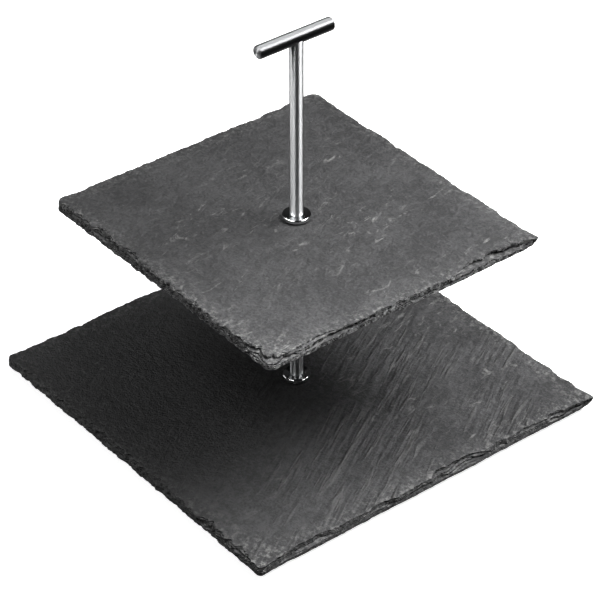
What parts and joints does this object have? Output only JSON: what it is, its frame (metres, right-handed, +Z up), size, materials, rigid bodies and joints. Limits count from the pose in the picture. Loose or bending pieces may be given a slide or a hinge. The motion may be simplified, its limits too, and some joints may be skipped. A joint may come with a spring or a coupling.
{
  "type": "tiered cake stand",
  "caption": "Tiered cake stand: square slate trays, the upper one smaller, clamped on a slim round chromed post that ends in a T-shaped lifting handle.",
  "frame": {"origin": "on the column's axis, in the plane that the soles of the feet stand on", "axes": "+Z up along the column; the trays' sides lie along X and Y; the bar of the T-handle runs along Y"},
  "size_m": [0.25, 0.25, 0.2472],
  "materials": {
    "slate": "matte",
    "chrome": "polished",
    "rubber": "matte",
    "plain_steel": "satin"
  },
  "bodies": {
    "base": {"lower_slate": "slate", "foot_left": "rubber", "foot_front": "rubber", "foot_right": "rubber", "foot_back": "rubber", "base_gasket": "rubber", "base_washer": "plain_steel", "base_screw": "plain_steel", "lower_gasket": "rubber", "lower_rosette": "chrome", "lower_post": "chrome", "middle_rosette": "chrome"},
    "upper_tier": {"upper_slate": "slate", "upper_slate_under_gasket": "rubber", "upper_slate_top_gasket": "rubber"},
    "clamp_rosette": {"upper_rosette": "chrome"},
    "handle": {"tie_stud": "plain_steel", "upper_post": "chrome", "handle_stud": "plain_steel", "handle_bar": "chrome"}
  },
  "joints": [
    {"name": "tier_swivel", "type": "hinge", "parent": "base", "child": "upper_tier", "pos_m": [0, 0, 0.1189], "axis": [0, 0, 1], "continuous": true},
    {"name": "handle_lift", "type": "slide", "parent": "base", "child": "clamp_rosette", "axis": [0, 0, 1], "range_m": [0, 0.012]},
    {"name": "handle_turn", "type": "hinge", "parent": "clamp_rosette", "child": "handle", "pos_m": [0, 0, 0.1264], "axis": [0, 0, 1], "range_deg": [0, 5400]}
  ],
  "couplings": [
    {"joint": "handle_lift", "follows": "handle_turn", "m_per_rad": 0.00012732}
  ]
}
